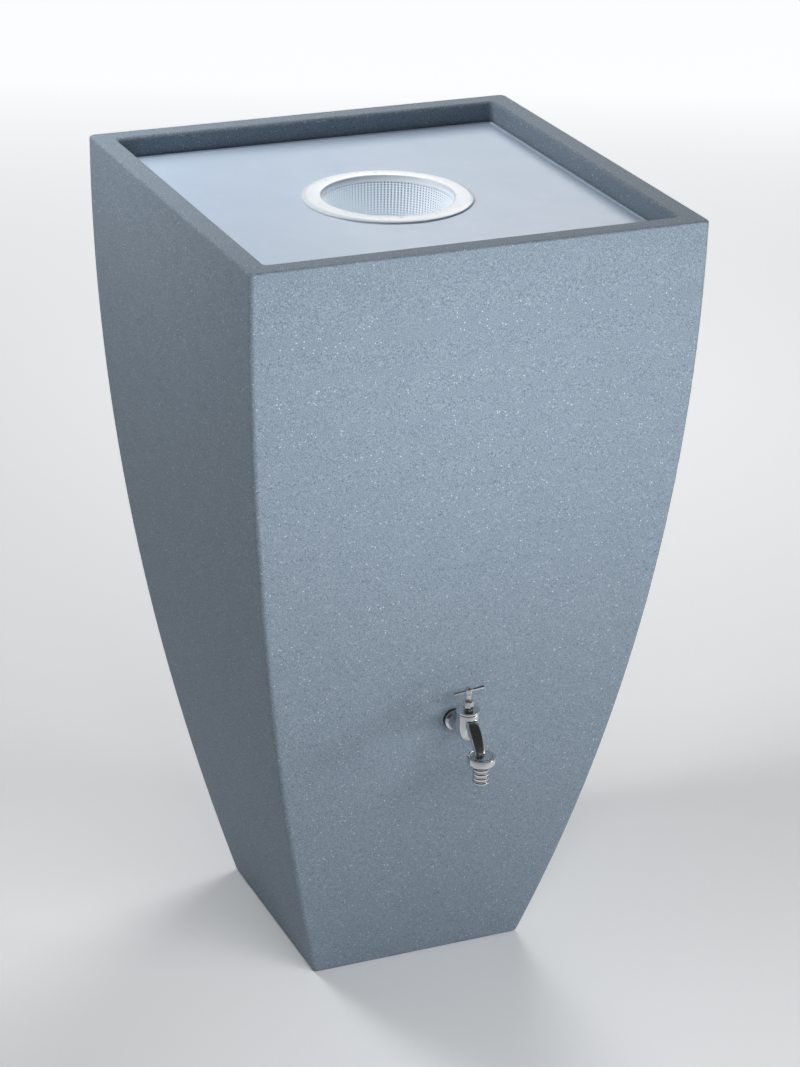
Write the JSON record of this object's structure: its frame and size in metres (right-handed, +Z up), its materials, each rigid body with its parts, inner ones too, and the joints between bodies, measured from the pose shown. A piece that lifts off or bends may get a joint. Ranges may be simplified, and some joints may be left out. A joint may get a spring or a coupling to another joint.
{
  "type": "rain barrel",
  "caption": "Square tapering rain barrel with curved sides, a drop-in lid with a leaf sieve, and a tee-handled bib tap with a hose coupling.",
  "frame": {"origin": "centre of the square base, on the ground", "axes": "+Z up; the tap faces -Y; +X is to the right of someone facing the tap"},
  "size_m": [0.57, 0.6185, 1],
  "materials": {
    "stone_plastic": "matte rotomoulded polyethylene with a fine stone-like speckle, slate blue grey",
    "lid_plastic": "smooth satin moulded plastic, pale blue grey",
    "white_plastic": "smooth white moulded plastic",
    "chrome": "polished chrome plating",
    "brass": "turned bare brass",
    "steel": "plain stainless steel",
    "rubber": "matte black rubber",
    "fibre": "pressed red fibre"
  },
  "bodies": {
    "barrel": {"barrel_shell": "stone_plastic", "tap_body": "chrome", "outer_gasket": "rubber", "inner_gasket": "rubber", "inner_washer": "steel", "lock_nut": "brass", "bonnet_gasket": "fibre", "bonnet": "chrome", "gland_packing": "rubber", "gland_nut": "chrome"},
    "lid": {"lid_panel": "lid_plastic"},
    "sieve": {"sieve_basket": "white_plastic"},
    "valve": {"valve_jumper": "brass", "seat_washer": "rubber", "washer_nut": "brass"},
    "handle": {"spindle": "brass", "tee_handle": "chrome", "handle_screw": "chrome"},
    "hose_tail": {"hose_nozzle": "chrome", "nozzle_washer": "rubber"},
    "union": {"union_nut": "chrome"}
  },
  "joints": [
    {"name": "lid_lift", "type": "slide", "parent": "barrel", "child": "lid", "axis": [0, 0, 1], "range_m": [0, 0.25]},
    {"name": "sieve_lift", "type": "slide", "parent": "lid", "child": "sieve", "axis": [0, 0, 1], "range_m": [0, 0.15]},
    {"name": "valve_lift", "type": "slide", "parent": "barrel", "child": "valve", "axis": [0, 0, 1], "range_m": [0, 0.004]},
    {"name": "handle_turn", "type": "hinge", "parent": "valve", "child": "handle", "pos_m": [0, -0.2743, 0.438], "axis": [0, 0, 1], "range_deg": [0, 720]},
    {"name": "hose_tail_drop", "type": "slide", "parent": "barrel", "child": "hose_tail", "axis": [0, 0, -1], "range_m": [0, 0.006]},
    {"name": "union_turn", "type": "hinge", "parent": "hose_tail", "child": "union", "pos_m": [0, -0.316, 0.365], "axis": [0, 0, -1], "range_deg": [0, 1170]}
  ],
  "couplings": [
    {"joint": "handle_turn", "follows": "valve_lift", "rad_per_m": 3141.6},
    {"joint": "hose_tail_drop", "follows": "union_turn", "m_per_rad": 0.00028871}
  ]
}
